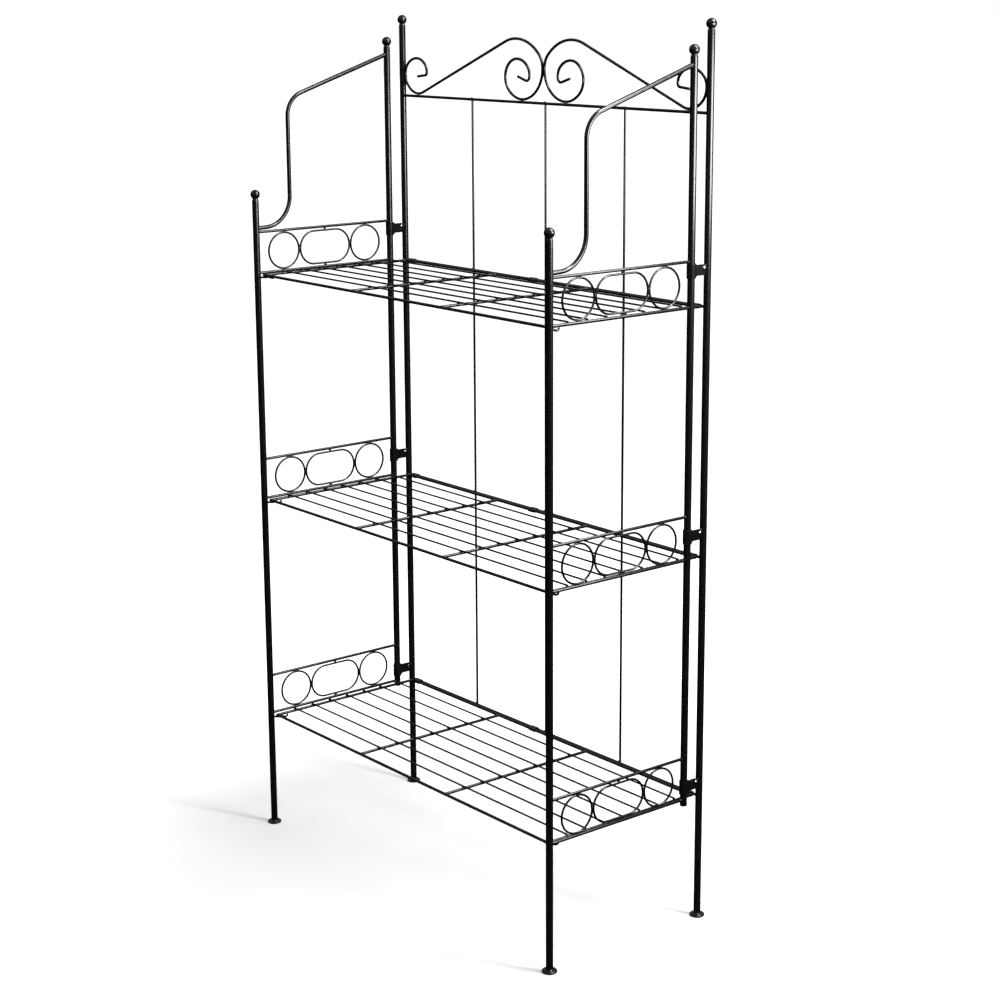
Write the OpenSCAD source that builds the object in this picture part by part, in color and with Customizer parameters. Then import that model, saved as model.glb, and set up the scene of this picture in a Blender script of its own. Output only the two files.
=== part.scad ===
// Folding wire rack: a back frame, two side frames on strap hinges and three shelves that fold up.
// Sizes are in millimetres. +Z is up, +Y is the back and +X is the right-hand side from the front.
// The origin is on the floor, under the middle of the frame.

/* [Plan] */
// Distance between the left and right posts, centre to centre
frame_w = 850; // [820:10:1000]
// Distance from the front posts to the back posts, centre to centre
frame_d = 348; // [330:2:420]
// Distance from the back posts to the rear posts of the sides, centre to centre
hinge_d = 38; // [32:1:46]

/* [Heights] */
// Height of the lowest side rails
first_rail_z = 231; // [200:1:300]
// Rise from one shelf level to the next
level_pitch = 437.5; // [400:0.5:500]
// Height of each ring band, from its lower rail to its upper rail
band_h = 77; // [70:0.5:90]
// How far the shelf rods lie below the lower side rails
shelf_drop = 3; // [0:0.5:10]
// Rise from the top shelf to the top back rail
top_rail_rise = 322; // [310:1:360]
// Rise from the top back rail to the balls on the back posts
back_ball_rise = 145; // [140:1:180]
// Rise from the top side rails to the balls on the front posts
front_ball_rise = 71; // [50:1:90]
// Rise from the upper end of a brace to the ball on its rear post
rear_ball_rise = 23.5; // [22:0.5:60]
// How far the rear posts of the sides reach below the lowest side rail
rear_post_tail = 11; // [6:1:40]

/* [Posts] */
// Outside diameter of the post tubes
post_d = 12.7; // [12:0.1:14]
// Wall of the post tubes
post_wall = 1; // [0.8:0.1:1.6]
// Diameter of the finial balls
ball_d = 18; // [16:0.5:22]
// Diameter of the neck under a ball
neck_d = 9.6; // [8:0.1:10.4]
// Height of the neck that shows under a ball
neck_h = 2; // [1:0.1:4]
// How far a ball's or foot's plug reaches into its tube
plug_l = 14; // [8:1:24]
// Diameter of the feet
foot_d = 27; // [22:0.5:34]
// Thickness of the feet
foot_h = 4.5; // [3:0.1:7]

/* [Rods and wires] */
// Diameter of the side rails and the back rails
rail_d = 5.5; // [5:0.1:6]
// Diameter of the frame rods of a shelf
shelf_rod_d = 5.5; // [5:0.1:6]
// Diameter of the long wires of a shelf
shelf_wire_d = 3; // [2.5:0.1:4]
// Diameter of the upright rods of the back frame
back_rod_d = 4; // [3:0.1:5]
// Diameter of the wire of the rings
ring_wire_d = 3.5; // [2.5:0.1:4.5]
// Diameter of the rod of the scrolls
scroll_d = 5; // [4:0.1:6]
// Diameter of the braces
brace_d = 8; // [6:0.1:10]
// Diameter of the wire of the hooks
hook_d = 4; // [3:0.1:5]

/* [Side frames] */
// Distance from a side's post centre to the nearest ring
post_to_ring = 25; // [14:0.5:32]
// Height of the oblong between the rings
oblong_h = 66.5; // [58:0.5:68]
// Rise from the top side rail to the upper end of a brace
brace_top_rise = 322.5; // [300:0.5:360]
// Rise from the top side rail to the lower end of a brace
brace_foot_rise = 7.2; // [7:0.1:20]
// Distance from the front posts to the upright run of a brace
brace_run_d = 77; // [70:1:110]
// Slope of the upper run of a brace, in degrees below level
brace_top_slope = 18.3; // [10:0.1:25]
// Slope of the lower end of a brace, in degrees below level
brace_foot_slope = 2; // [0:1:25]
// Bend radius at the upper corner of a brace
brace_top_r = 45; // [30:1:60]
// Bend radius at the lower corner of a brace
brace_foot_r = 56; // [40:1:68]

/* [Shelves] */
// Distance from the front posts to the front rods of the shelves
front_rod_set = 7; // [4:0.5:12]
// Distance from the side posts' centres to the end rods of the shelves
end_rod_set = 12; // [11.5:0.5:20]
// How far the front and rear rods reach past the end rods
rod_overhang = 2.5; // [0:0.1:2.8]
// How far the long wires reach past the end rods
wire_overhang = 1.5; // [0:0.1:2.5]
// Distance between the two cross rods of a shelf
cross_rod_span = 260; // [180:5:360]
// Number of long wires on a shelf
wire_count = 7; // [5:1:9]

/* [Shelf clips] */
// Length of a clip along the rods
clip_l = 17; // [10:1:24]
// Wall of a clip
clip_wall = 1.2; // [1:0.1:1.8]
// Space between a shelf's rear rod and the back rail that it turns beside
pivot_space = 1.3; // [1.2:0.1:2]
// Space between an end rod and the clip beside it
clip_space = 1.5; // [0.5:0.5:20]
// Distance of the middle clip from the middle of the frame, towards the left
middle_clip_set = 27; // [0:1:90]

/* [Shelf hooks] */
// Bend radius of a hook beside its post
hook_r = 6; // [5:0.5:9]
// Straight run of a hook under its end rod
hook_run = 2; // [1:0.5:6]
// Length of the sloping run of a hook
hook_slope_l = 5; // [4:0.5:10]
// Bend radius of the tip of a hook
hook_tip_r = 5; // [4:0.5:6]

/* [Strap hinges] */
// Wall of a strap
strap_wall = 1.5; // [1.2:0.1:2]
// Height of the collar of a strap
collar_h = 25; // [20:0.5:26]
// Height of the ears of a strap
ear_h = 18; // [14:0.5:20]
// Rounding of the ears' corners
ear_corner_r = 3; // [1:0.5:6]
// Space between the ears and the back post
ear_space = 0.4; // [0.3:0.1:2]
// Thickness of the tabs on the back posts
tab_t = 2.4; // [1.5:0.1:3]
// Height of the tabs
tab_h = 16; // [12:0.5:18]
// Distance from a back post's centre to the free end of its tabs
tab_reach = 19; // [16:0.5:20]
// Drop from the top side rail to the middle of its strap
top_strap_drop = 16; // [15.5:0.5:30]
// Drop from the middle upper side rail to the middle of its strap
middle_strap_drop = 36; // [20:0.5:50]
// Drop from the bottom upper side rail to the middle of its strap
bottom_strap_drop = 54; // [30:0.5:58]
// Diameter of the bolts
bolt_d = 4; // [3:0.1:4.5]
// Distance from the back posts' centres to the bolts
bolt_set = 10.5; // [10:0.1:14]
// How far the bolts stand above the middle of the straps
bolt_rise = 3; // [-4:0.5:4]
// Diameter of the bolt heads
bolt_head_d = 7.4; // [6:0.1:7.6]
// Height of the bolt heads
bolt_head_h = 2.4; // [1.8:0.1:3.2]
// Diameter of the riveted ends of the bolts
bolt_end_d = 6; // [5:0.5:6]
// Height of the riveted ends of the bolts
bolt_end_h = 1.2; // [1:0.1:1.6]

/* [Scrolls] */
// Widths of the quarter turns of a big spiral, from its top inwards
spiral_w = [75, 58, 48, 34, 35];
// Heights of the quarter turns of a big spiral, from its top inwards
spiral_h = [52, 56.5, 39, 33.5, 28];
// Straight run, bend radius, turn and tip length that end a big spiral
spiral_tip = [3, 8, 107, 24];
// Widths of the quarter turns of a small curl, from its bottom inwards
curl_w = [41, 36.5, 32];
// Heights of the quarter turns of a small curl, from its bottom inwards
curl_h = [37, 30, 25];
// Straight run, bend radius, turn and tip length that end a small curl
curl_tip = [1, 6, 84, 24];
// Bend radius where the straight bar leaves the small curl
curl_bend_r = 40; // [30:1:60]
// Bend radius where the straight bar meets the big spiral
spiral_bend_r = 85; // [60:1:90]

/* [Clearances] */
// Hairline gap between welded or bolted pieces
weld_gap = 0.05; // [0.02:0.01:0.1]
// Radial running gap at the strap hinges and the shelf clips
run_gap = 0.08; // [0.03:0.01:0.1]
// Gap between a shelf and the hooks that it rests on
rest_gap = 0.3; // [0.2:0.05:0.5]
// How far a bent wire swells where two of its bends or runs join
join_swell = 0.04; // [0.02:0.01:0.05]
// Length of the swelling at a join
join_l = 0.6; // [0.4:0.1:0.8]

/* [Hidden] */
$fn = 48;
half_quarter = 45;
paint = "#1d1d20";
steel = "#b9bcc0";
LEFT = -1;
RIGHT = 1;
BOTTOM = 0;
MIDDLE = 1;
TOP = 2;
LEVELS = [BOTTOM, MIDDLE, TOP];

post_x = frame_w / 2;
front_y = -frame_d / 2;
back_y = frame_d / 2;
rear_y = back_y - hinge_d;
side_d = rear_y - front_y;

function lower_z(level) = first_rail_z + level * level_pitch;
function upper_z(level) = lower_z(level) + band_h;
function shelf_z(level) = lower_z(level) - shelf_drop;
function strap_z(level) = upper_z(level) - [bottom_strap_drop, middle_strap_drop, top_strap_drop][level];

top_rail_z = shelf_z(TOP) + top_rail_rise;
brace_top_z = upper_z(TOP) + brace_top_rise;
brace_foot_z = upper_z(TOP) + brace_foot_rise;
back_ball_z = top_rail_z + back_ball_rise;
rear_ball_z = brace_top_z + rear_ball_rise;
front_ball_z = upper_z(TOP) + front_ball_rise;
ball_to_post = sqrt(pow(ball_d / 2, 2) - pow(neck_d / 2, 2)) + neck_h;
plug_d = post_d - 2 * post_wall - 2 * weld_gap;

ring_d = band_h - rail_d - 2 * weld_gap;
oblong_l = side_d - 2 * post_to_ring - 2 * ring_d - 2 * weld_gap;

front_rod_y = front_y + front_rod_set;
rear_rod_y = back_y - rail_d / 2 - pivot_space - shelf_rod_d / 2;
end_rod_x = post_x - end_rod_set;
wire_pitch = (rear_rod_y - front_rod_y) / (wire_count + 1);

collar_r = post_d / 2 + run_gap;
strap_outer = collar_r + strap_wall;
slot_w = tab_t + 2 * weld_gap;
ears_w = slot_w + 2 * strap_wall;
ear_end = hinge_d - post_d / 2 - ear_space;

// A rod along X
module rod_x(x0, x1, y, z, d) {
    translate([x0, y, z]) rotate([0, 90, 0]) cylinder(d = d, h = x1 - x0);
}

// A rod along Y
module rod_y(x, y0, y1, z, d) {
    translate([x, y0, z]) rotate([-90, 0, 0]) cylinder(d = d, h = y1 - y0);
}

// An upright rod
module rod_z(x, y, z0, z1, d) {
    translate([x, y, z0]) cylinder(d = d, h = z1 - z0);
}

// Shapes drawn for the right-hand side, as they are or mirrored to the left
module on_side(side) {
    if (side == RIGHT) children();
    else mirror([1, 0, 0]) children();
}

// The room that a post takes, with the gap of a weld round it
module post_room(x, y) {
    rod_z(x, y, 0, back_ball_z, post_d + 2 * weld_gap);
}

// Position and heading after one step of a bent wire. [length] runs straight.
// [radius, turn] bends, to the left where the turn is positive.
function next_state(s, step) =
    len(step) == 1
    ? [s[0] + step[0] * cos(s[2]), s[1] + step[0] * sin(s[2]), s[2]]
    : let (r = sign(step[1]) * step[0], h = s[2] + step[1])
      [s[0] + r * (sin(h) - sin(s[2])), s[1] - r * (cos(h) - cos(s[2])), h];

// One step of a bent wire, drawn flat from a position and heading
module wire_step(s, step, d) {
    translate([s[0], s[1], 0]) rotate([0, 0, s[2]])
        if (len(step) == 1)
            rotate([0, 90, 0]) cylinder(d = d, h = step[0]);
        else
            translate([0, sign(step[1]) * step[0], 0])
                rotate([0, 0, step[1] > 0 ? -90 : 90 + step[1]])
                    rotate_extrude(angle = abs(step[1])) translate([step[0], 0]) circle(d = d);
}

// The short sleeve that closes a join
module join_sleeve(s, d) {
    translate([s[0], s[1], 0]) rotate([0, 0, s[2]]) rotate([0, 90, 0])
        cylinder(d = d + 2 * join_swell, h = join_l, center = true);
}

// A whole bent wire, drawn flat, with its joins closed
module bent_wire(s, steps, d, i = 0) {
    if (i < len(steps)) {
        wire_step(s, steps[i], d);
        if (i > 0) join_sleeve(s, d);
        bent_wire(next_state(s, steps[i]), steps, d, i + 1);
    }
}

// Two right-hand bends that make a quarter of an oval, its flatter part first or last
function oval_quarter(w, h, flat_first) =
    let (
        mean_r = (w + h) / 2,
        spread = (w - h) / (2 * (sqrt(2) - 1)),
        flat = [mean_r + spread, -half_quarter],
        steep = [mean_r - spread, -half_quarter]
    )
    flat_first ? [flat, steep] : [steep, flat];

// The bends of a spiral of quarter turns and of the tip that ends it
function spiral_steps(widths, heights, tip) = [
    for (k = [0 : len(widths) - 1]) each oval_quarter(widths[k], heights[k], k % 2 == 0),
    [tip[0]], [tip[1], -tip[2]], [tip[3]]
];

// A post tube
module post(x, y, z0, z1) {
    difference() {
        rod_z(x, y, z0, z1, post_d);
        rod_z(x, y, z0 - 1, z1 + 1, post_d - 2 * post_wall);
    }
}

// A ball with its neck and its plug
module finial(x, y, z) {
    translate([x, y, z]) {
        sphere(d = ball_d);
        translate([0, 0, -ball_to_post]) cylinder(d = neck_d, h = ball_to_post);
        translate([0, 0, -ball_to_post - plug_l]) cylinder(d = plug_d, h = plug_l + neck_h);
    }
}

// A round-edged foot with its plug
module foot(x, y) {
    translate([x, y, 0]) {
        cylinder(d = foot_d - foot_h, h = foot_h - weld_gap);
        translate([0, 0, foot_h / 2]) rotate_extrude() intersection() {
            translate([foot_d / 2 - foot_h / 2, 0]) circle(d = foot_h);
            translate([0, -foot_h]) square([foot_d, 2 * foot_h - foot_h / 2 - weld_gap]);
        }
        cylinder(d = plug_d, h = foot_h + plug_l);
    }
}

// Back frame

module back_post(side) {
    color(paint) on_side(side) post(post_x, back_y, foot_h, back_ball_z - ball_to_post);
}

module back_finial(side) {
    color(paint) on_side(side) finial(post_x, back_y, back_ball_z);
}

module back_foot(side) {
    color(paint) on_side(side) foot(post_x, back_y);
}

// A rail between the two back posts
module back_rail(z) {
    color(paint) difference() {
        rod_x(-post_x, post_x, back_y, z, rail_d);
        for (x = [-post_x, post_x]) post_room(x, back_y);
    }
}

// The upright rods that stand behind the back rails
module back_rods() {
    y = back_y + rail_d / 2 + back_rod_d / 2 + weld_gap;
    color(paint) for (x = [-post_x / 2, 0, post_x / 2])
        rod_z(x, y, shelf_z(BOTTOM) - rail_d / 2, top_rail_z + rail_d / 2, back_rod_d);
}

// A small curl against the post, a rising bar and a big spiral in the middle, all of one rod.
// The bar is the line that touches both of its end bends.
module scroll(side) {
    base_z = top_rail_z + rail_d / 2 + weld_gap + scroll_d / 2;
    curl_x = -(post_x - post_d / 2 - weld_gap - scroll_d / 2) + curl_w[0];
    spiral_x = -weld_gap - scroll_d / 2 - spiral_w[0];
    spiral_z = base_z + spiral_h[0] + spiral_h[1];
    run = spiral_x - curl_x;
    rise = spiral_z - spiral_bend_r - base_z - curl_bend_r;
    span = sqrt(run * run + rise * rise);
    bends = curl_bend_r + spiral_bend_r;
    bar_slope = atan2(rise, run) + asin(bends / span);
    bar_l = sqrt(span * span - bends * bends);
    bar = [[curl_bend_r, bar_slope], [bar_l], [spiral_bend_r, -bar_slope]];
    color(paint) on_side(-side) translate([0, back_y, 0]) rotate([90, 0, 0]) {
        join_sleeve([curl_x, base_z, 0], scroll_d);
        join_sleeve([spiral_x, spiral_z, 0], scroll_d);
        bent_wire([curl_x, base_z, 180], spiral_steps(curl_w, curl_h, curl_tip), scroll_d);
        bent_wire([curl_x, base_z, 0], bar, scroll_d);
        bent_wire([spiral_x, spiral_z, 0], spiral_steps(spiral_w, spiral_h, spiral_tip), scroll_d);
    }
}

// A sheet clip that holds a shelf's rear rod beside its back rail
module shelf_clip(x, z) {
    outer_d = shelf_rod_d + 2 * run_gap + 2 * clip_wall;
    difference() {
        union() {
            rod_x(x, x + clip_l, back_y, z, outer_d);
            rod_x(x, x + clip_l, rear_rod_y, z, outer_d);
            translate([x, rear_rod_y, z - outer_d / 2]) cube([clip_l, back_y - rear_rod_y, outer_d]);
        }
        rod_x(x - 1, x + clip_l + 1, back_y, z, rail_d + 2 * weld_gap);
        rod_x(x - 1, x + clip_l + 1, rear_rod_y, z, shelf_rod_d + 2 * run_gap);
    }
}

module shelf_clips(level) {
    end_x = end_rod_x - shelf_rod_d / 2 - clip_space;
    color(paint) for (x = [-end_x, -middle_clip_set - clip_l / 2, end_x - clip_l])
        shelf_clip(x, shelf_z(level));
}

// The side outline of a strap's ears, from the rear post's centre to their rounded end before the back post
module ear_outline() {
    flare = (collar_h - ear_h) / 2;
    corner_x = ear_end - ear_corner_r;
    corner_y = ear_h / 2 - ear_corner_r;
    polygon([
        [0, -collar_h / 2], [strap_outer, -collar_h / 2], [strap_outer + flare, -ear_h / 2],
        [corner_x, -ear_h / 2], [ear_end, -corner_y], [ear_end, corner_y], [corner_x, ear_h / 2],
        [strap_outer + flare, ear_h / 2], [strap_outer, collar_h / 2], [0, collar_h / 2]
    ]);
    for (y = [-corner_y, corner_y]) translate([corner_x, y]) circle(r = ear_corner_r);
}

// A collar that turns round the rear post, with an ear on each side of the back post's tab
module hinge_strap(z) {
    translate([post_x, rear_y, z]) difference() {
        union() {
            cylinder(r = strap_outer, h = collar_h, center = true);
            translate([-ears_w / 2, 0, 0]) rotate([90, 0, 90]) linear_extrude(ears_w) ear_outline();
        }
        cylinder(r = collar_r, h = collar_h + 2, center = true);
        translate([-slot_w / 2, 0, -collar_h]) cube([slot_w, hinge_d, 2 * collar_h]);
        rod_x(-ears_w, ears_w, hinge_d - bolt_set, bolt_rise, bolt_d + 2 * weld_gap);
    }
}

// The tab on a back post that the ears of a strap grip
module hinge_tab(z) {
    difference() {
        translate([post_x - tab_t / 2, back_y - tab_reach, z - tab_h / 2])
            cube([tab_t, tab_reach - post_d / 2 + post_wall / 2, tab_h]);
        post_room(post_x, back_y);
        rod_x(post_x - post_d, post_x + post_d, back_y - bolt_set, z + bolt_rise, bolt_d + 2 * weld_gap);
    }
}

// The straps of a side frame, with the tabs that they are bolted to
module hinge_straps(side) {
    color(paint) on_side(side) for (level = LEVELS) {
        hinge_strap(strap_z(level));
        hinge_tab(strap_z(level));
    }
}

// A bolt with a domed head on the outside and a riveted end on the inside
module hinge_bolt(z) {
    dome_r = (pow(bolt_head_d / 2, 2) + pow(bolt_head_h, 2)) / (2 * bolt_head_h);
    seat = ears_w / 2 + weld_gap;
    translate([post_x, back_y - bolt_set, z]) {
        rod_x(-seat - bolt_end_h, seat + bolt_head_h / 2, 0, 0, bolt_d);
        rod_x(-seat - bolt_end_h, -seat, 0, 0, bolt_end_d);
        translate([seat, 0, 0]) rotate([0, 90, 0]) rotate_extrude() intersection() {
            translate([0, bolt_head_h - dome_r]) circle(r = dome_r);
            square([dome_r, bolt_head_h + 1]);
        }
    }
}

module hinge_bolts(side) {
    color(steel) on_side(side) for (level = LEVELS) hinge_bolt(strap_z(level) + bolt_rise);
}

// Side frames

module front_post(side) {
    color(paint) on_side(side) post(post_x, front_y, foot_h, front_ball_z - ball_to_post);
}

module rear_post(side) {
    color(paint) on_side(side)
        post(post_x, rear_y, lower_z(BOTTOM) - rear_post_tail, rear_ball_z - ball_to_post);
}

module front_finial(side) {
    color(paint) on_side(side) finial(post_x, front_y, front_ball_z);
}

module rear_finial(side) {
    color(paint) on_side(side) finial(post_x, rear_y, rear_ball_z);
}

module front_foot(side) {
    color(paint) on_side(side) foot(post_x, front_y);
}

// A rail between the front post and the rear post of a side
module side_rail(z) {
    difference() {
        rod_y(post_x, front_y, rear_y, z, rail_d);
        for (y = [front_y, rear_y]) post_room(post_x, y);
    }
}

module upper_rails(side) {
    color(paint) on_side(side) for (level = LEVELS) side_rail(upper_z(level));
}

module lower_rails(side) {
    color(paint) on_side(side) for (level = LEVELS) side_rail(lower_z(level));
}

// A ring that stands in the plane of a side
module ring() {
    rotate([0, 90, 0]) rotate_extrude() translate([(ring_d - ring_wire_d) / 2, 0]) circle(d = ring_wire_d);
}

// The oblong between the rings, with the stubs that join it to its rails
module oblong() {
    r = (oblong_h - ring_wire_d) / 2;
    straight = oblong_l - oblong_h;
    difference() {
        union() {
            for (side = [-1, 1]) {
                rod_y(0, -straight / 2, straight / 2, side * r, ring_wire_d);
                translate([0, side * straight / 2, 0]) rotate([0, 90, 0]) rotate([0, 0, 90 - 90 * side])
                    rotate_extrude(angle = 180) translate([r, 0]) circle(d = ring_wire_d);
            }
            rod_z(0, 0, -band_h / 2, -r, ring_wire_d);
            rod_z(0, 0, r, band_h / 2, ring_wire_d);
        }
        for (z = [-band_h / 2, band_h / 2]) rod_y(0, -oblong_l, oblong_l, z, rail_d + 2 * weld_gap);
    }
}

// Two rings with an oblong between them
module ring_band(side, level) {
    reach = post_to_ring + ring_d / 2;
    color(paint) on_side(side) translate([post_x, 0, lower_z(level) + band_h / 2]) {
        for (y = [front_y + reach, rear_y - reach]) translate([0, y, 0]) ring();
        translate([0, (front_y + rear_y) / 2, 0]) oblong();
    }
}

// A tube that slopes down from the rear post, bends upright and curves forward to the front post
module brace(side) {
    top_turn = 90 - brace_top_slope;
    foot_turn = 90 - brace_foot_slope;
    slope_run = side_d - brace_run_d;
    corner_l = brace_top_r * tan(top_turn / 2);
    corner_z = brace_top_z - slope_run * tan(brace_top_slope);
    foot_l = (brace_run_d - brace_foot_r * (1 - cos(foot_turn))) / cos(brace_foot_slope);
    bend_z = brace_foot_z + foot_l * sin(brace_foot_slope) + brace_foot_r * sin(foot_turn);
    steps = [
        [slope_run / cos(brace_top_slope) - corner_l], [brace_top_r, top_turn],
        [corner_z - corner_l - bend_z], [brace_foot_r, -foot_turn], [foot_l]
    ];
    color(paint) on_side(side) difference() {
        translate([post_x, 0, 0]) rotate([90, 0, 90])
            bent_wire([rear_y, brace_top_z, 180 + brace_top_slope], steps, brace_d);
        for (y = [front_y, rear_y]) post_room(post_x, y);
    }
}

// A hook that leaves its post slantwise, runs back under the shelf and turns up at its tip
module hook() {
    slant = 45;
    dip = 20;
    slant_l = (end_rod_set - hook_r * (1 - cos(slant))) / sin(slant);
    steps = [[slant_l], [hook_r, -slant], [hook_run]];
    back_run = slant_l * cos(slant) + hook_r * sin(slant) + hook_run;
    bent_wire([0, 0, 90 + slant], steps, hook_d);
    translate([-end_rod_set, back_run, 0]) rotate([90, 0, 90]) {
        join_sleeve([0, 0, 0], hook_d);
        bent_wire([0, 0, 0], [[2 * hook_d, -dip], [hook_slope_l], [hook_tip_r, 90]], hook_d);
    }
}

module hooks(side) {
    drop = shelf_rod_d / 2 + rest_gap + hook_d / 2;
    color(paint) on_side(side) for (level = LEVELS) difference() {
        translate([post_x, front_y, shelf_z(level) - drop]) hook();
        post_room(post_x, front_y);
    }
}

// Shelves

module front_rod(level) {
    x = end_rod_x + rod_overhang;
    color(paint) rod_x(-x, x, front_rod_y, shelf_z(level), shelf_rod_d);
}

module rear_rod(level) {
    x = end_rod_x + rod_overhang;
    color(paint) rod_x(-x, x, rear_rod_y, shelf_z(level), shelf_rod_d);
}

// Rods that run from the front rod of a shelf to its rear rod
module shelf_bars(level, x) {
    room_d = shelf_rod_d + 2 * weld_gap;
    reach = x + shelf_rod_d;
    color(paint) difference() {
        for (bar_x = [-x, x]) rod_y(bar_x, front_rod_y, rear_rod_y, shelf_z(level), shelf_rod_d);
        for (y = [front_rod_y, rear_rod_y]) rod_x(-reach, reach, y, shelf_z(level), room_d);
    }
}

module end_rods(level) {
    shelf_bars(level, end_rod_x);
}

module cross_rods(level) {
    shelf_bars(level, cross_rod_span / 2);
}

// The long wires that lie on a shelf's end rods and cross rods
module wires(level) {
    x = end_rod_x + wire_overhang;
    z = shelf_z(level) + shelf_rod_d / 2 + weld_gap + shelf_wire_d / 2;
    color(paint) for (k = [1 : wire_count]) rod_x(-x, x, front_rod_y + k * wire_pitch, z, shelf_wire_d);
}

back_post(LEFT);  // left_back_post
back_post(RIGHT);  // right_back_post
back_finial(LEFT);  // left_back_finial
back_finial(RIGHT);  // right_back_finial
back_foot(LEFT);  // left_back_foot
back_foot(RIGHT);  // right_back_foot
back_rail(top_rail_z);  // top_rail
scroll(LEFT);  // left_scroll
scroll(RIGHT);  // right_scroll
back_rods();
back_rail(shelf_z(BOTTOM));  // bottom_cross_rail
back_rail(shelf_z(MIDDLE));  // middle_cross_rail
back_rail(shelf_z(TOP));  // top_cross_rail
shelf_clips(BOTTOM);  // bottom_shelf_clips
shelf_clips(MIDDLE);  // middle_shelf_clips
shelf_clips(TOP);  // top_shelf_clips
hinge_straps(LEFT);  // left_hinge_straps
hinge_straps(RIGHT);  // right_hinge_straps
hinge_bolts(LEFT);  // left_hinge_bolts
hinge_bolts(RIGHT);  // right_hinge_bolts
front_post(LEFT);  // left_front_post
rear_post(LEFT);  // left_rear_post
front_finial(LEFT);  // left_front_finial
rear_finial(LEFT);  // left_rear_finial
front_foot(LEFT);  // left_front_foot
upper_rails(LEFT);  // left_upper_rails
lower_rails(LEFT);  // left_lower_rails
ring_band(LEFT, BOTTOM);  // left_bottom_rings
ring_band(LEFT, MIDDLE);  // left_middle_rings
ring_band(LEFT, TOP);  // left_top_rings
brace(LEFT);  // left_brace
hooks(LEFT);  // left_hooks
front_post(RIGHT);  // right_front_post
rear_post(RIGHT);  // right_rear_post
front_finial(RIGHT);  // right_front_finial
rear_finial(RIGHT);  // right_rear_finial
front_foot(RIGHT);  // right_front_foot
upper_rails(RIGHT);  // right_upper_rails
lower_rails(RIGHT);  // right_lower_rails
ring_band(RIGHT, BOTTOM);  // right_bottom_rings
ring_band(RIGHT, MIDDLE);  // right_middle_rings
ring_band(RIGHT, TOP);  // right_top_rings
brace(RIGHT);  // right_brace
hooks(RIGHT);  // right_hooks
front_rod(BOTTOM);  // bottom_front_rod
rear_rod(BOTTOM);  // bottom_rear_rod
end_rods(BOTTOM);  // bottom_end_rods
cross_rods(BOTTOM);  // bottom_cross_rods
wires(BOTTOM);  // bottom_wires
front_rod(MIDDLE);  // middle_front_rod
rear_rod(MIDDLE);  // middle_rear_rod
end_rods(MIDDLE);  // middle_end_rods
cross_rods(MIDDLE);  // middle_cross_rods
wires(MIDDLE);  // middle_wires
front_rod(TOP);  // top_front_rod
rear_rod(TOP);  // top_rear_rod
end_rods(TOP);  // top_end_rods
cross_rods(TOP);  // top_cross_rods
wires(TOP);  // top_wires
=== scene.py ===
"""A folding wire rack in black powder coat, with tube posts, ring bands, scrolls and wire shelves."""

import math

import bmesh
import bpy
from bpy.props import FloatProperty, FloatVectorProperty, IntProperty, PointerProperty
from mathutils import Matrix, Vector


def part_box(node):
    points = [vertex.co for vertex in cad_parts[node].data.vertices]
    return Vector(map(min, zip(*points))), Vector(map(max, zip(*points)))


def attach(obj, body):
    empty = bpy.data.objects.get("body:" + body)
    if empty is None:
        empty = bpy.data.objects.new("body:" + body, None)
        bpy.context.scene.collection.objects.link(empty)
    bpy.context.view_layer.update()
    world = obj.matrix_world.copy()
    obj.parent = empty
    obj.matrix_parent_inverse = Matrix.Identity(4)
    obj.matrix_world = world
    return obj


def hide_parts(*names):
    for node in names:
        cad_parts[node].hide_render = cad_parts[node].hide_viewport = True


bl_info = {
    "name": "Folding Wire Rack",
    "version": (1, 0, 0),
    "blender": (4, 5, 0),
    "location": "3D View > Sidebar > Rack",
    "description": "Builds a folding wire rack round its packed frame",
    "category": "Add Mesh",
}

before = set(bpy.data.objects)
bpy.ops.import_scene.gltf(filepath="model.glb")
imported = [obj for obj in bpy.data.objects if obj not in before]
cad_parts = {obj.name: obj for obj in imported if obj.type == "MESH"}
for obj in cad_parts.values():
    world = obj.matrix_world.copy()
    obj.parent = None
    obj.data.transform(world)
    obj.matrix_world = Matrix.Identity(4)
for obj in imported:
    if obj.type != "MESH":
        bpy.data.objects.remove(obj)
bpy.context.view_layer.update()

SIDES = (("left", -1), ("right", 1))
LEVELS = ("bottom", "middle", "top")
MM = 0.001

# Space between welded solids, space round a piece that turns, and how far a rail's end lies inside its post
WELD_GAP = 0.05 * MM
RUN_GAP = 0.08 * MM
RAIL_SINK = 2.2 * MM

# Angles past which an edge is shaded sharp, and is bevelled
SHARP_ANGLE = math.radians(35)
BEVEL_ANGLE = math.radians(40)

# Values between which most of a noise texture lies
NOISE_RANGE = (0.3, 0.7)


# Places and sizes, read from the frame


def centre(node):
    """Middle of a node's box."""
    low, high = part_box(node)
    return (low + high) / 2


def extent(node):
    """Size of a node's box."""
    low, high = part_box(node)
    return high - low


post_r = extent("right_front_post").x / 2
post_x = centre("right_front_post").x
front_y = centre("right_front_post").y
rear_y = centre("right_rear_post").y
back_y = centre("right_back_post").y
rail_r = extent("top_rail").z / 2
top_rail_z = centre("top_rail").z
shelf_z = {level: centre(f"{level}_front_rod").z for level in LEVELS}
shelf_rod_r = extent("top_front_rod").z / 2
ring_wire_r = extent("left_top_rings").x / 2
brace_r = extent("right_brace").x / 2
scroll_r = extent("left_scroll").y / 2
back_rod_r = extent("back_rods").y / 2
wire_r = extent("top_wires").z / 2


def rail_heights(node):
    """Heights of the three rails of a side, from the bottom."""
    low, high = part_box(node)
    first, last = low.z + rail_r, high.z - rail_r
    return {level: first + k * (last - first) / 2 for k, level in enumerate(LEVELS)}


def front_rod_y(level):
    """Place of a shelf's front rod along Y."""
    return centre(f"{level}_front_rod").y


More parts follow.
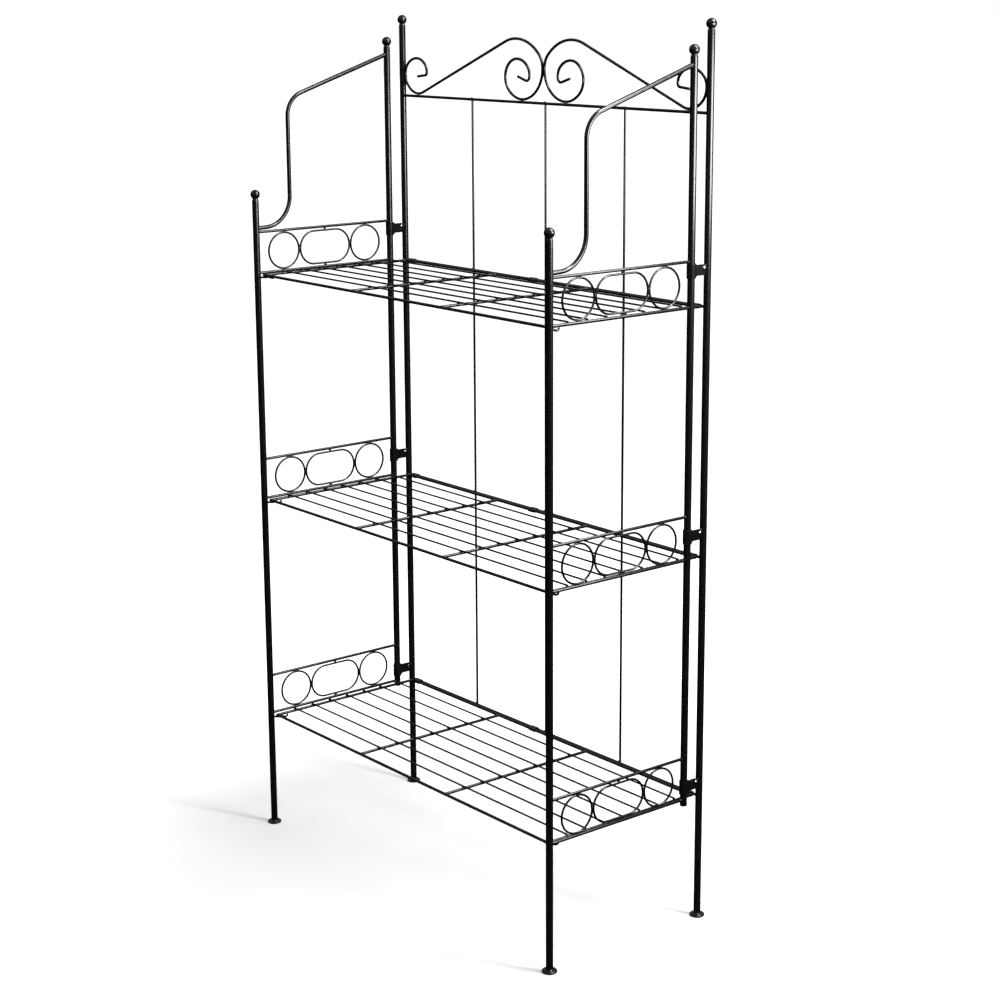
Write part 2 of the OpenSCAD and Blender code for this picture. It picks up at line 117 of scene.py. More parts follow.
def rear_rod_y(level):
    """Place of a shelf's rear rod along Y."""
    return centre(f"{level}_rear_rod").y


def end_rod_x(level, part):
    """How far a shelf's end rods or cross rods lie from its middle."""
    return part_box(f"{level}_{part}")[1].x - shelf_rod_r


def back_rod_places():
    """Places of the back's upright rods along X."""
    low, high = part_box("back_rods")
    return low.x + back_rod_r, (low.x + high.x) / 2, high.x - back_rod_r


def wire_places(level):
    """Places of a shelf's long wires along Y, evenly between its front and rear rods."""
    front, rear = front_rod_y(level), rear_rod_y(level)
    count = round((rear - front) / (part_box(f"{level}_wires")[0].y + wire_r - front))
    return [front + k * (rear - front) / count for k in range(1, count)]


lower_z = rail_heights("left_lower_rails")
upper_z = rail_heights("left_upper_rails")


# Sizes and colours that a user would change


def length(name, description, default):
    """A property for one length, or for a row of them."""
    if isinstance(default, tuple):
        return FloatVectorProperty(
            name=name, description=description, size=len(default), default=default, unit="LENGTH")
    return FloatProperty(name=name, description=description, default=default, unit="LENGTH")


class RackSizes(bpy.types.PropertyGroup):
    """Sizes of the details that the frame leaves open."""

    tube_sides: IntProperty(
        name="Tube sides", description="Faces round a post or ball", default=48, min=16, max=96)
    rod_sides: IntProperty(
        name="Rod sides", description="Faces round a rod or wire", default=20, min=8, max=48)
    bend_step: FloatProperty(
        name="Bend step", description="Turn between two points of a bend", default=math.radians(5),
        subtype="ANGLE")
    end_round: FloatProperty(
        name="End rounding", description="Rounding of a cut end, as a share of the rod's radius",
        default=0.45)
    weld_flare: FloatProperty(
        name="Weld flare", description="Width of a weld's foot, as a share of its rod's radius",
        default=1.42)
    weld_length: FloatProperty(
        name="Weld length", description="Length of a weld along its rod, as a share of the rod's radius",
        default=1.3)
    weld_rough: length("Weld unevenness", "How far a weld's skin wanders", 0.00022)
    spiral_widths: length(
        "Spiral widths", "Widths of a big spiral's quarter turns, from its top inwards",
        (0.075, 0.058, 0.048, 0.034, 0.035))
    spiral_heights: length(
        "Spiral heights", "Heights of a big spiral's quarter turns, from its top inwards",
        (0.052, 0.0565, 0.039, 0.0335, 0.028))
    curl_widths: length(
        "Curl widths", "Widths of a small curl's quarter turns, from its bottom inwards",
        (0.041, 0.0365, 0.032))
    curl_heights: length(
        "Curl heights", "Heights of a small curl's quarter turns, from its bottom inwards",
        (0.037, 0.030, 0.025))
    bar_bends: length(
        "Bar bends", "Bend radii at the curl's end and the spiral's end of a scroll's bar",
        (0.040, 0.085))
    brace_slopes: FloatVectorProperty(
        name="Brace slopes", description="Slopes of a brace's upper run and of its lower end",
        size=2, default=(math.radians(18.3), math.radians(2)), unit="ROTATION")
    brace_bends: length("Brace bends", "Bend radii of a brace's upper and lower corners", (0.045, 0.056))
    brace_run: length("Brace run", "Distance from the front post to a brace's upright run", 0.077)
    oblong_height: length("Oblong height", "Height of the oblong between the rings", 0.0665)
    strap_wall: length("Strap wall", "Thickness of a hinge strap", 0.0015)
    ear_height: length("Ear height", "Height of a hinge strap's ears", 0.018)
    ear_corner: length("Ear corner", "Rounding of an ear's corners", 0.003)
    strap_drops: length(
        "Strap drops", "Drops from the upper rails to the straps, from the bottom", (0.054, 0.036, 0.016))
    tab_wall: length("Tab thickness", "Thickness of the tabs on the back posts", 0.0024)
    tab_size: length(
        "Tab size", "Reach of a tab from the back post's centre, and its height", (0.019, 0.016))
    clip_wall: length("Clip wall", "Thickness of a shelf clip", 0.0012)
    coat_depth: length("Coat depth", "How far the coat stands out from the thin wires", 0.0002)


class RackFinish(bpy.types.PropertyGroup):
    """Colours and gloss."""

    coat_color: FloatVectorProperty(
        name="Coat colour", description="Black of the powder coat", subtype="COLOR",
        default=(0.0045, 0.0045, 0.0048))
    coat_roughness: FloatProperty(
        name="Coat roughness", description="Roughness of the powder coat", default=0.24)
    coat_mirror: FloatProperty(
        name="Coat mirroring", description="Specular level of the powder coat", default=0.8)
    peel_size: length("Ripple size", "Distance between the ripples of the coat", 0.0026)
    peel_depth: length("Ripple depth", "Depth of the ripples of the coat", 0.0000025)
    steel_color: FloatVectorProperty(
        name="Steel colour", description="Bright plated steel", subtype="COLOR", default=(0.62, 0.63, 0.65))
    floor_color: FloatVectorProperty(
        name="Floor colour", description="Pale floor", subtype="COLOR", default=(0.92, 0.92, 0.92))
    floor_glow: length(
        "Floor glow", "Distances from the rack where the floor's own white begins and is full",
        (0.4, 1.3))


class RackView(bpy.types.PropertyGroup):
    """Where the camera stands."""

    place: FloatVectorProperty(
        name="Camera place", description="Where the camera stands", subtype="TRANSLATION",
        default=(2.9005, -2.2811, 1.6248))
    heading: FloatProperty(
        name="Heading", description="Turn of the camera from looking to the back, towards the left",
        default=math.radians(50.99), subtype="ANGLE")
    pitch: FloatProperty(
        name="Pitch", description="How far the camera looks up", default=math.radians(-12.73),
        subtype="ANGLE")
    roll: FloatProperty(
        name="Roll", description="Roll of the camera", default=math.radians(-0.32), subtype="ANGLE")
    lens: FloatProperty(name="Lens", description="Focal length in millimetres", default=74.876)
    shift: FloatProperty(
        name="Shift", description="Vertical shift of the lens, in picture widths", default=-0.04)


# Nodes


def new_group(kind, name, inputs, outputs):
    """A node group with named sockets, and the sockets of its two end nodes."""
    group = bpy.data.node_groups.new(name, kind)
    for way, rows in (("INPUT", inputs), ("OUTPUT", outputs)):
        for label, socket_kind, *value in rows:
            socket = group.interface.new_socket(label, in_out=way, socket_type=f"NodeSocket{socket_kind}")
            if value:
                socket.default_value = value[0]
    return group, group.nodes.new("NodeGroupInput").outputs, group.nodes.new("NodeGroupOutput").inputs


def add_node(tree, kind, settings=(), **inputs):
    """A node with its settings, and its inputs linked or set."""
    node = tree.nodes.new(kind)
    for key, value in dict(settings).items():
        setattr(node, key, value)
    feed(tree, node, **inputs)
    return node


def feed(tree, node, **inputs):
    """Links or sets a node's inputs. An underscore in a name stands for a space."""
    for key, value in inputs.items():
        connect(tree, node.inputs[key.replace("_", " ")], value)


def connect(tree, socket, value):
    """Links a socket to another, or sets its value."""
    if isinstance(value, bpy.types.NodeSocket):
        tree.links.new(value, socket)
    else:
        socket.default_value = value


def named(tree, name, kind):
    """Reads a point attribute."""
    reader = add_node(tree, "GeometryNodeInputNamedAttribute", {"data_type": kind}, Name=name)
    return reader.outputs["Attribute"]


def maths(tree, operation, first, second, kind="ShaderNodeMath"):
    """The result of one sum on two values."""
    node = add_node(tree, kind, {"operation": operation})
    connect(tree, node.inputs[0], first)
    connect(tree, node.inputs["Scale" if operation == "SCALE" else 1], second)
    return node.outputs[0]


def vector_maths(tree, operation, first, second):
    """The result of one sum on vectors, or of scaling one."""
    return maths(tree, operation, first, second, "ShaderNodeVectorMath")


def mapped(tree, value, limits, kind="LINEAR"):
    """Takes a value from one pair of limits to another, without leaving the second."""
    node = add_node(tree, "ShaderNodeMapRange", {"interpolation_type": kind}, Value=value)
    for socket, limit in zip(node.inputs[1:5], limits):
        socket.default_value = limit
    return node.outputs["Result"]


def finish_tree(tree, result, geometry, material):
    """Smooths the geometry, realizes it, gives it its material and hands it out."""
    smooth = add_node(tree, "GeometryNodeSetShadeSmooth", Geometry=geometry).outputs["Geometry"]
    real = add_node(tree, "GeometryNodeRealizeInstances", Geometry=smooth).outputs["Geometry"]
    painted = add_node(tree, "GeometryNodeSetMaterial", Geometry=real, Material=material)
    connect(tree, result["Geometry"], painted.outputs["Geometry"])


# Geometry node trees


def geometry_tree(name, inputs):
    """A geometry tree that takes and gives a mesh, with more named inputs."""
    mesh = ("Geometry", "Geometry")
    return new_group("GeometryNodeTree", name, [mesh, *inputs, ("Material", "Material")], [mesh])


def rod_tree():
    """Sweeps a round section along the input's edges, scaled at each point by its taper."""
    tree, given, result = geometry_tree("Bent rod", [("Radius", "Float", 0.00275), ("Sides", "Int", 20)])
    path = add_node(tree, "GeometryNodeMeshToCurve", Mesh=given["Geometry"]).outputs["Curve"]
    circle = add_node(
        tree, "GeometryNodeCurvePrimitiveCircle", Resolution=given["Sides"], Radius=given["Radius"])
    swept = add_node(
        tree, "GeometryNodeCurveToMesh", Curve=path, Profile_Curve=circle.outputs["Curve"],
        Scale=named(tree, "taper", "FLOAT"), Fill_Caps=True)
    finish_tree(tree, result, swept.outputs["Mesh"], given["Material"])


def weld_tree():
    """Puts a flared bead or a nugget on each point, turned along its axis, with an uneven skin."""
    tree, given, result = geometry_tree("Weld beads", [
        ("Flare", "Float", 1.42), ("Length", "Float", 1.3), ("Unevenness", "Float", 0.0002),
        ("Seed", "Int", 3)])
    lumps_per_metre = 700.0
    bead = add_node(
        tree, "GeometryNodeMeshCone", {"fill_type": "NGON"}, Vertices=20, Side_Segments=4, Radius_Top=1.0,
        Radius_Bottom=given["Flare"], Depth=given["Length"]).outputs["Mesh"]
    nugget = add_node(tree, "GeometryNodeMeshIcoSphere", Radius=1.0, Subdivisions=3).outputs["Mesh"]
    shapes = add_node(tree, "GeometryNodeGeometryToInstance")
    for mesh in (nugget, bead):
        tree.links.new(mesh, shapes.inputs["Geometry"])
    turn = add_node(
        tree, "FunctionNodeAlignRotationToVector", {"axis": "Z"}, Vector=named(tree, "axis", "FLOAT_VECTOR"))
    jitter = add_node(
        tree, "FunctionNodeRandomValue", {"data_type": "FLOAT"}, Min=0.88, Max=1.08, Seed=given["Seed"])
    scale = vector_maths(tree, "SCALE", named(tree, "size", "FLOAT_VECTOR"), jitter.outputs[1])
    placed = add_node(
        tree, "GeometryNodeInstanceOnPoints", Points=given["Geometry"], Instance=shapes.outputs[0],
        Pick_Instance=True, Instance_Index=named(tree, "kind", "INT"), Rotation=turn.outputs["Rotation"],
        Scale=scale)
    real = add_node(tree, "GeometryNodeRealizeInstances", Geometry=placed.outputs["Instances"])
    noise = add_node(tree, "ShaderNodeTexNoise", Scale=lumps_per_metre, Detail=1.0)
    centred = vector_maths(tree, "SUBTRACT", noise.outputs["Color"], (0.5, 0.5, 0.5))
    wander = vector_maths(tree, "SCALE", centred, given["Unevenness"])
    moved = add_node(tree, "GeometryNodeSetPosition", Geometry=real.outputs["Geometry"], Offset=wander)
    finish_tree(tree, result, moved.outputs["Geometry"], given["Material"])


def add_object(name, data):
    """A new object in the scene."""
    made = bpy.data.objects.new(name, data)
    bpy.context.scene.collection.objects.link(made)
    return made


def grow(name, mesh, tree_name, coat, values):
    """Runs a tree on a mesh and keeps the result as a plain mesh object."""
    values = {**values, "Material": bpy.data.materials[coat]}
    piece = add_object(name, mesh)
    modifier = piece.modifiers.new(tree_name, "NODES")
    modifier.node_group = bpy.data.node_groups[tree_name]
    for item in modifier.node_group.interface.items_tree:
        if item.item_type == "SOCKET" and item.in_out == "INPUT" and item.name in values:
            modifier[item.identifier] = values[item.name]
    return settle(piece)


def settle(piece):
    """Keeps what a piece's modifier makes as its plain mesh."""
    graph = bpy.context.evaluated_depsgraph_get()
    mesh = bpy.data.meshes.new_from_object(piece.evaluated_get(graph), depsgraph=graph)
    mesh.name = piece.name
    piece.modifiers.clear()
    piece.data = mesh
    return piece


# Mesh helpers


def dress(piece, body, nodes):
    """Says which body a piece moves with, and hides the nodes that it stands for."""
    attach(piece, body)
    if nodes:
        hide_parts(*nodes)


def new_piece(name, bm, coat):
    """An object made from a bmesh, smooth but for its sharp edges."""
    mesh = bpy.data.meshes.new(name)
    bm.to_mesh(mesh)
    bm.free()
    mesh.materials.append(bpy.data.materials[coat])
    mesh.shade_smooth()
    mesh.set_sharp_from_angle(angle=SHARP_ANGLE)
    return add_object(name, mesh)


def arc_points(middle, radius, start, turn, count):
    """Points along an arc, in degrees, with both ends."""
    angles = [math.radians(start + turn * k / count) for k in range(count + 1)]
    return [(middle[0] + radius * math.cos(a), middle[1] + radius * math.sin(a)) for a in angles]


def turned(bm, profile, origin, axis, sides):
    """Adds a turned solid: profile runs from one pole to the other as (radius, height) along axis."""
    turn = Vector(axis).to_track_quat("Z", "Y").to_matrix()
    rings = []
    for radius, height in profile:
        points = arc_points((0, 0), radius, 0, 360, sides)[:-1] if radius else [(0, 0)]
        rings.append([bm.verts.new(Vector(origin) + turn @ Vector((x, y, height))) for x, y in points])
    for low, high in zip(rings, rings[1:]):
        for k in range(sides):
            n = (k + 1) % sides
            low_edge = [low[k], low[n]] if len(low) > 1 else low
            high_edge = [high[n], high[k]] if len(high) > 1 else high
            bm.faces.new(low_edge + high_edge)


def band(bm, stations, thickness, place, closed=False):
    """Adds a bent sheet. A station is (point, outward normal, low edge, high edge), and place maps it to
    space."""
    rows = []
    for (u, v), (nu, nv), low, high in stations:
        corners = []
        for side, w in ((1, low), (1, high), (-1, high), (-1, low)):
            offset = side * thickness / 2
            corners.append(bm.verts.new(place(u + nu * offset, v + nv * offset, w)))
        rows.append(corners)
    following = rows[1:] + rows[:1] if closed else rows[1:]
    for a, b in zip(rows, following):
        for k in range(4):
            n = (k + 1) % 4
            bm.faces.new((a[k], b[k], b[n], a[n]))
    if not closed:
        bm.faces.new(rows[0])
        bm.faces.new(list(reversed(rows[-1])))
    bmesh.ops.recalc_face_normals(bm, faces=bm.faces[:])


def rounded_edges(piece, width):
    """Bevels a piece's sharp edges."""
    modifier = piece.modifiers.new("Bevel", "BEVEL")
    modifier.width = width
    modifier.segments = 2
    modifier.limit_method = "ANGLE"
    modifier.angle_limit = BEVEL_ANGLE
    modifier.harden_normals = True
    return settle(piece)


# Paths of bent rods


def bent_path(start, heading, steps, turn_step):
    """Points along a flat bent rod. A step is (length,) or (radius, turn), and a turn to the left is
    positive."""
    points = [Vector(start)]
    for step in steps:
        x, y = points[-1]
        if len(step) == 1:
            points.append(Vector((x + step[0] * math.cos(heading), y + step[0] * math.sin(heading))))
            continue
        radius, turn = step
        side = math.copysign(radius, turn)
        count = max(2, math.ceil(abs(turn) / turn_step))
        for k in range(1, count + 1):
            h = heading + turn * k / count
            points.append(Vector((x + side * (math.sin(h) - math.sin(heading)),
                                  y - side * (math.cos(h) - math.cos(heading)))))
        heading += turn
    return points


def oval_quarter(width, height, flat_first):
    """Two bends to the right that make a quarter of an oval."""
    mean = (width + height) / 2
    spread = (width - height) / (2 * (math.sqrt(2) - 1))
    bends = [(mean + spread, -math.pi / 4), (mean - spread, -math.pi / 4)]
    return bends if flat_first else bends[::-1]


def spiral_steps(widths, heights, tip):
    """Bends of a spiral of quarter turns, and of its tip: a run, a bend radius and turn, and a last run."""
    steps = []
    for k, (width, height) in enumerate(zip(widths, heights)):
        steps += oval_quarter(width, height, k % 2 == 0)
    run, radius, turn, last = tip
    return steps + [(run,), (radius, -math.radians(turn)), (last,)]


def rounded_path(points, radius, rounding):
    """A path with its points and tapers, its two cut ends rounded over a quarter turn."""
    edge = radius * rounding
    angles = (0.0, 0.42, 0.84, 1.26, math.pi / 2)

    def end(tip, inner):
        along = (inner - tip).normalized()
        return [(tip + along * edge * (1 - math.cos(a)), 1 - rounding + rounding * math.sin(a))
                for a in angles]

    middle = [(p, 1.0) for p in points[1:-1]]
    return end(points[0], points[1]) + middle + end(points[-1], points[-2])[::-1]


def path_mesh(name, paths):
    """A mesh of edges. A path is a list of (point, taper) and whether it closes."""
    verts, edges, tapers = [], [], []
    for path, closed in paths:
        base = len(verts)
        verts += [p for p, _ in path]
        tapers += [t for _, t in path]
        edges += [(base + k, base + k + 1) for k in range(len(path) - 1)]
        if closed:
            edges.append((base + len(path) - 1, base))
    mesh = bpy.data.meshes.new(name)
    mesh.from_pydata(verts, edges, [])
    mesh.attributes.new("taper", "FLOAT", "POINT").data.foreach_set("value", tapers)
    return mesh


def sweep(name, paths, radius, coat):
    """One piece of rods or loops along paths."""
    return grow(name, path_mesh(name, paths), "Bent rod", coat, {
        "Radius": radius, "Sides": bpy.context.scene.rack_sizes.rod_sides})


def rods(name, lines, radius, body, node, coat="Rod coat"):
    """Rods with rounded ends, one along each list of points, that stand for one node."""
    rounding = bpy.context.scene.rack_sizes.end_round
    paths = [(rounded_path([Vector(p) for p in line], radius, rounding), False) for line in lines]
    dress(sweep(name, paths, radius, coat), body, [node])


# Materials


def powder_coat_group():
    """Powder coat: ripples in its skin, and a little unevenness in colour and gloss."""
    group, given, result = new_group(
        "ShaderNodeTree", "Powder coat",
        [("Color", "Color", (0.0045, 0.0045, 0.0048, 1)), ("Roughness", "Float", 0.24),
         ("Ripple size", "Float", 0.0026), ("Ripple depth", "Float", 0.0000025)],
        [("Color", "Color"), ("Roughness", "Float"), ("Height", "Float")])
    grains_per_metre, clouds_per_metre = 2600.0, 22.0
    place = add_node(group, "ShaderNodeTexCoord").outputs["Object"]
    pitch = maths(group, "DIVIDE", 1.0, given["Ripple size"])
    ripple = add_node(group, "ShaderNodeTexNoise", Vector=place, Scale=pitch, Detail=1.5, Roughness=0.45)
    fine = add_node(group, "ShaderNodeTexNoise", Vector=place, Scale=grains_per_metre, Detail=2.0)
    cloud = add_node(group, "ShaderNodeTexNoise", Vector=place, Scale=clouds_per_metre, Detail=3.0)
    tone = mapped(group, cloud.outputs["Fac"], (*NOISE_RANGE, 0.82, 1.25))
    spread = mapped(group, fine.outputs["Fac"], (*NOISE_RANGE, -0.015, 0.025))
    connect(group, result["Color"], vector_maths(group, "SCALE", given["Color"], tone))
    connect(group, result["Roughness"], maths(group, "ADD", given["Roughness"], spread))
    connect(group, result["Height"], maths(group, "MULTIPLY", ripple.outputs["Fac"], given["Ripple depth"]))


def new_material(name):
    """A new node material, its tree and its Principled BSDF."""
    material = bpy.data.materials.new(name)
    material.use_nodes = True
    return material, material.node_tree, material.node_tree.nodes["Principled BSDF"]


def coat_material(name, ripple_share):
    """Black powder coat whose ripples are a share of the full size."""
    finish = bpy.context.scene.rack_finish
    _, tree, shader = new_material(name)
    coat = add_node(
        tree, "ShaderNodeGroup", {"node_tree": bpy.data.node_groups["Powder coat"]},
        Color=(*finish.coat_color, 1), Roughness=finish.coat_roughness,
        Ripple_size=finish.peel_size * ripple_share,
        Ripple_depth=finish.peel_depth * ripple_share ** 2).outputs
    bump = add_node(tree, "ShaderNodeBump", Strength=1.0, Distance=1.0, Height=coat["Height"])
    feed(tree, shader, Specular_IOR_Level=finish.coat_mirror, Base_Color=coat["Color"],
         Roughness=coat["Roughness"], Normal=bump.outputs["Normal"])


def steel_material():
    """Bright plated steel with fine marks."""
    finish = bpy.context.scene.rack_finish
    _, tree, shader = new_material("Plated steel")
    place = add_node(tree, "ShaderNodeTexCoord").outputs["Object"]
    marks_per_metre, darkening, first_color, second_color = 900.0, 0.8, 6, 7
    marks = add_node(
        tree, "ShaderNodeTexNoise", Vector=place, Scale=marks_per_metre, Detail=3.0).outputs["Fac"]
    bump = add_node(tree, "ShaderNodeBump", Strength=0.4, Distance=0.05 * MM, Height=marks)
    tint = add_node(tree, "ShaderNodeMix", {"data_type": "RGBA"}, Factor=marks)
    tint.inputs[first_color].default_value = (*finish.steel_color, 1)
    tint.inputs[second_color].default_value = (*(darkening * c for c in finish.steel_color), 1)
    feed(tree, shader, Metallic=1.0, Base_Color=tint.outputs[2], Normal=bump.outputs["Normal"],
         Roughness=mapped(tree, marks, (*NOISE_RANGE, 0.18, 0.34)))


# Pieces


class RackOperator(bpy.types.Operator):
    """Shares what the rack's operators need."""

    bl_options = {"REGISTER", "UNDO"}

    @staticmethod
    def sizes():
        return bpy.context.scene.rack_sizes


class RACK_OT_stage(RackOperator):
    """Sets up the floor, the light and the camera."""

    bl_idname = "rack.stage"
    bl_label = "Stage"

    def execute(self, context):
        self.floor(context)
        self.world(context)
        self.lights()
        self.camera(context)
        context.scene.view_settings.view_transform = "Standard"
        return {"FINISHED"}

    def floor(self, context):
        """A wide pale floor. Near the rack the lamps light it and the shadow shows; farther off its own
        white takes over, which only the camera sees."""
        finish = context.scene.rack_finish
        mesh = bpy.data.meshes.new("floor")
        reach, near_glow = 30.0, 0.25
        corners = [(-reach, -reach, 0), (reach, -reach, 0), (reach, reach, 0), (-reach, reach, 0)]
        mesh.from_pydata(corners, [], [(0, 1, 2, 3)])
        floor = add_object("floor", mesh)
        floor.visible_glossy = False
        material, tree, shader = new_material("Pale floor")
        distance = add_node(tree, "ShaderNodeVectorMath", {"operation": "LENGTH"})
        connect(tree, distance.inputs[0], add_node(tree, "ShaderNodeTexCoord").outputs["Object"])
        glow = mapped(tree, distance.outputs["Value"], (*finish.floor_glow, near_glow, 1.0), "SMOOTHSTEP")
        camera_ray = add_node(tree, "ShaderNodeLightPath").outputs["Is Camera Ray"]
        feed(tree, shader, Base_Color=(*finish.floor_color, 1), Roughness=0.9, Specular_IOR_Level=0.1,
             Emission_Color=(1, 1, 1, 1), Emission_Strength=maths(tree, "MULTIPLY", camera_ray, glow))
        mesh.materials.append(material)

    def world(self, context):
        """White to the camera and dim to all else, with black below the horizon in reflections."""
        world = bpy.data.worlds.new("Studio")
        context.scene.world = world
        world.use_nodes = True
        tree = world.node_tree
        tree.nodes.clear()
        path = add_node(tree, "ShaderNodeLightPath")
        height = add_node(
            tree, "ShaderNodeSeparateXYZ", Vector=add_node(tree, "ShaderNodeTexCoord").outputs["Generated"])
        dim, horizon = 0.25, (-0.05, 0.5)
        mirrored = mapped(tree, height.outputs["Z"], (*horizon, 0.0, dim), "SMOOTHSTEP")
        strength = self.choice(tree, path.outputs["Is Glossy Ray"], dim, mirrored)
        seen = self.choice(tree, path.outputs["Is Camera Ray"], strength, 1.0)
        light = add_node(tree, "ShaderNodeBackground", Color=(1, 1, 1, 1), Strength=seen)
        out = add_node(tree, "ShaderNodeOutputWorld")
        connect(tree, out.inputs["Surface"], light.outputs[0])

    def choice(self, tree, factor, no, yes):
        """The first value where the factor is 0, and the second where it is 1."""
        mix = add_node(tree, "ShaderNodeMix", Factor=factor)
        connect(tree, mix.inputs[2], no)
        connect(tree, mix.inputs[3], yes)
        return mix.outputs[0]

    def lights(self):
        """A long strip high on the right, a wide box behind it, and a small panel beside the right posts'
        tops that streaks them. A row gives name, place, aim, turn in degrees, width, depth and power."""
        boxes = (
            ("top_strip", (1.95, 0.80, 3.0), (1.95, 0.80, 0), 22, 2.9, 0.34, 80),
            ("back_softbox", (1.1, 1.40, 2.9), (1.0, 1.10, 0), 0, 2.2, 0.5, 36),
            ("right_panel", (1.242, 0.389, 1.43), (0.425, 0.155, 1.43), 0, 0.7, 0.36, 14),
        )
        for name, place, aim, spin, width, depth, power in boxes:
            lamp = bpy.data.lights.new(name, "AREA")
            lamp.shape = "RECTANGLE"
            lamp.size = width
            lamp.size_y = depth
            lamp.energy = power
            box = add_object(name, lamp)
            turn = (Vector(aim) - Vector(place)).to_track_quat("-Z", "Y").to_matrix()
            turn = Matrix.Rotation(math.radians(spin), 3, "Z") @ turn
            box.matrix_world = Matrix.Translation(place) @ turn.to_4x4()
            box.visible_camera = False

    def camera(self, context):
        """A long lens that looks from the right front, a little downwards."""
        view = context.scene.rack_view
        data = bpy.data.cameras.new("camera")
        data.sensor_width = 36
        data.lens = view.lens
        data.shift_y = view.shift
        data.clip_end = 100
        camera = add_object("camera", data)
        turn = (Matrix.Rotation(view.heading, 4, "Z") @ Matrix.Rotation(math.pi / 2 + view.pitch, 4, "X")
                @ Matrix.Rotation(view.roll, 4, "Z"))
        camera.matrix_world = Matrix.Translation(view.place) @ turn
        context.scene.camera = camera


class RACK_OT_posts(RackOperator):
    """Turns the tube posts, their balls and their feet."""

    bl_idname = "rack.posts"
    bl_label = "Posts, balls and feet"

    def execute(self, context):
        for side, _ in SIDES:
            for place, body in (("front", f"{side}_side"), ("rear", f"{side}_side"), ("back", "back_frame")):
                name = f"{side}_{place}"
                self.turn(name, "post", body, self.post_profile(name))
                self.turn(name, "finial", body, self.ball_profile(name))
                if place != "rear":
                    self.turn(name, "foot", body, self.foot_profile(name))
        return {"FINISHED"}

    def turn(self, name, part, body, profile):
        """Turns a profile of radii and heights about its node's upright centre line."""
        middle = centre(f"{name}_{part}")
        bm = bmesh.new()
        turned(bm, profile, (middle.x, middle.y, 0), (0, 0, 1), self.sizes().tube_sides)
        dress(new_piece(f"{name}_{part}_turned", bm, "Tube coat"), body, [f"{name}_{part}"])

    def post_profile(self, name):
        """A tube with a rolled-in top and a deburred foot."""
        low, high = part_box(f"{name}_post")
        roll, burr, wall, bore = 1.6 * MM, 0.25 * MM, 1.0 * MM, 16 * MM
        top = arc_points((post_r - roll, high.z - roll), roll, 0, 90, 6)
        foot = [(0, bore), (post_r - wall, bore), (post_r - wall, burr), (post_r - wall + burr, 0),
                (post_r - burr, 0), (post_r, burr)]
        return [*((radius, low.z + height) for radius, height in foot), *top, (0, high.z)]

    def ball_profile(self, name):
        """A ball on a short neck that stands in the post's top, with a fillet between them."""
        low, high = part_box(f"{name}_finial")
        ball_r = (high.y - low.y) / 2
        neck_r = 5.2 * MM
        post_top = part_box(f"{name}_post")[1].z
        fillet = [(neck_r + past * MM, post_top + rise * MM)
                  for past, rise in ((0, -1.6), (0.8, -0.9), (0.4, -0.1), (0.1, 0.6), (0, 1.1))]
        neck_angle = -math.degrees(math.acos(neck_r / ball_r))
        cap = arc_points((0, high.z - ball_r), ball_r, neck_angle, 90 - neck_angle, 26)[:-1]
        return [(0, low.z), (neck_r, low.z), *fillet, *cap, (0, high.z)]

    def foot_profile(self, name):
        """A round-edged foot that rises to the tube in a small fillet."""
        foot_r = extent(f"{name}_foot").x / 2
        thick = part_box(f"{name}_post")[0].z
        edge = thick / 2
        fillet_r, clear, lap, rise = 2.0 * MM, 0.2 * MM, 0.4 * MM, 2.6 * MM
        rim = arc_points((foot_r - edge, edge), edge, -90, 180, 12)
        fillet = arc_points((post_r + clear + fillet_r, thick + fillet_r), fillet_r, 270, -90, 6)
        return [(0, 0), *rim, *fillet, (post_r - lap, thick + rise), (0, thick + rise)]


class RACK_OT_side_rails(RackOperator):
    """Draws the rails of the sides."""

    bl_idname = "rack.side_rails"
    bl_label = "Side rails"

    def execute(self, context):
        sunk = post_r - RAIL_SINK
        for side, sign in SIDES:
            for part, heights in (("upper_rails", upper_z), ("lower_rails", lower_z)):
                lines = [[(sign * post_x, front_y + sunk, z), (sign * post_x, rear_y - sunk, z)]
                         for z in heights.values()]
                rods(f"{side}_{part}_drawn", lines, rail_r, f"{side}_side", f"{side}_{part}")
        return {"FINISHED"}


def ring_shapes(level):
    """(middle along Y, middle height, half width, half height) of each wire loop's centre line."""
    low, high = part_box(f"left_{level}_rings")
    middle_z = (lower_z[level] + upper_z[level]) / 2
    ring_r = (upper_z[level] - lower_z[level]) / 2 - rail_r - WELD_GAP - ring_wire_r
    oblong_r = bpy.context.scene.rack_sizes.oblong_height / 2 - ring_wire_r
    near, far = low.y + ring_wire_r + ring_r, high.y - ring_wire_r - ring_r
    half_gap = (far - near) / 2 - ring_r - ring_wire_r * 2 - WELD_GAP
    return [(near, middle_z, ring_r, ring_r), ((near + far) / 2, middle_z, half_gap, oblong_r),
            (far, middle_z, ring_r, ring_r)]


